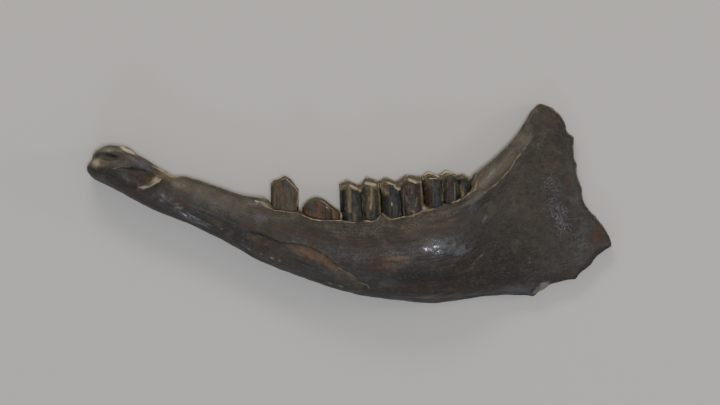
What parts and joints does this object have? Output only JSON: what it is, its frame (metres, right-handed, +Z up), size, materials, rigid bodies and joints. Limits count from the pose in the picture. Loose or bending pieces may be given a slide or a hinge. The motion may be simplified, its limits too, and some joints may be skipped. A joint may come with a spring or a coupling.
{
  "type": "fossil bovid mandible",
  "caption": "Left half of the fossil lower jaw of a large grazing bovid: curved dark bone with a broken ramus, empty incisor sockets and cheek teeth still in their sockets.",
  "frame": {"origin": "middle of the jaw's bounding box in plan, on the surface that it lies on", "axes": "+X from the chin back to the ramus, +Y from the lower border towards the tooth row, +Z up out of the cheek side"},
  "size_m": [0.3904, 0.1492, 0.0394],
  "materials": {
    "mineralised_bone": "dark grey-brown fossil bone, semi-gloss with a bluish sheen on its worn high places",
    "tooth_enamel": "dark glossy enamel with cream cement in its grooves and on its worn tips"
  },
  "bodies": {
    "root": {"jawbone": "mineralised_bone", "premolar_3": "tooth_enamel", "premolar_4": "tooth_enamel", "molar_1": "tooth_enamel", "molar_2": "tooth_enamel", "molar_3": "tooth_enamel"}
  },
  "joints": []
}
